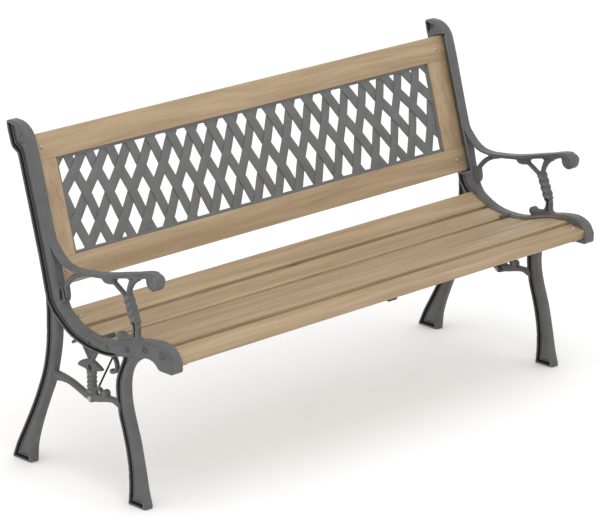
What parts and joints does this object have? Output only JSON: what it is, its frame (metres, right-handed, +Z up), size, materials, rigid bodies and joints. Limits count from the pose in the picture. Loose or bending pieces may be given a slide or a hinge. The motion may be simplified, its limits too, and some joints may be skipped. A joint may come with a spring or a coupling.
{
  "type": "garden bench",
  "caption": "Garden bench: scrolled cast-metal end frames joined by wooden seat slats and a wooden back frame around a woven lattice panel.",
  "frame": {"origin": "on the ground under the middle of the bench's outline", "axes": "X runs along the seat, the sitter faces -Y, +Z is up"},
  "size_m": [1.222, 0.502, 0.72],
  "materials": {
    "casting": "grey painted casting, satin, darker in the grooves",
    "wood": "pale tan oiled softwood, straight grain, soft sheen",
    "lattice": "grey moulded panel, matt, woven strips",
    "strap": "dark grey painted flat steel and rod",
    "fastener": "zinc plated steel, slightly dulled",
    "dowel_wood": "plain beech dowel"
  },
  "bodies": {
    "root": {"left_end_frame": "casting", "right_end_frame": "casting", "seat_slat_1": "wood", "seat_slat_2": "wood", "seat_slat_3": "wood", "seat_slat_4": "wood", "seat_slat_5": "wood", "seat_slat_6": "wood", "back_top_rail": "wood", "back_bottom_rail": "wood", "back_stile_left": "wood", "back_stile_right": "wood", "lattice_panel": "lattice", "seat_strap": "strap", "brace_rod_left": "strap", "brace_rod_right": "strap", "seat_bolts": "fastener", "seat_washers": "fastener", "seat_nuts": "fastener", "seat_screws": "fastener", "back_bolts": "fastener", "back_washers": "fastener", "back_nuts": "fastener", "strap_screws": "fastener", "brace_bolts": "fastener", "brace_nuts": "fastener", "brace_screws": "fastener", "back_dowels": "dowel_wood"}
  },
  "joints": []
}
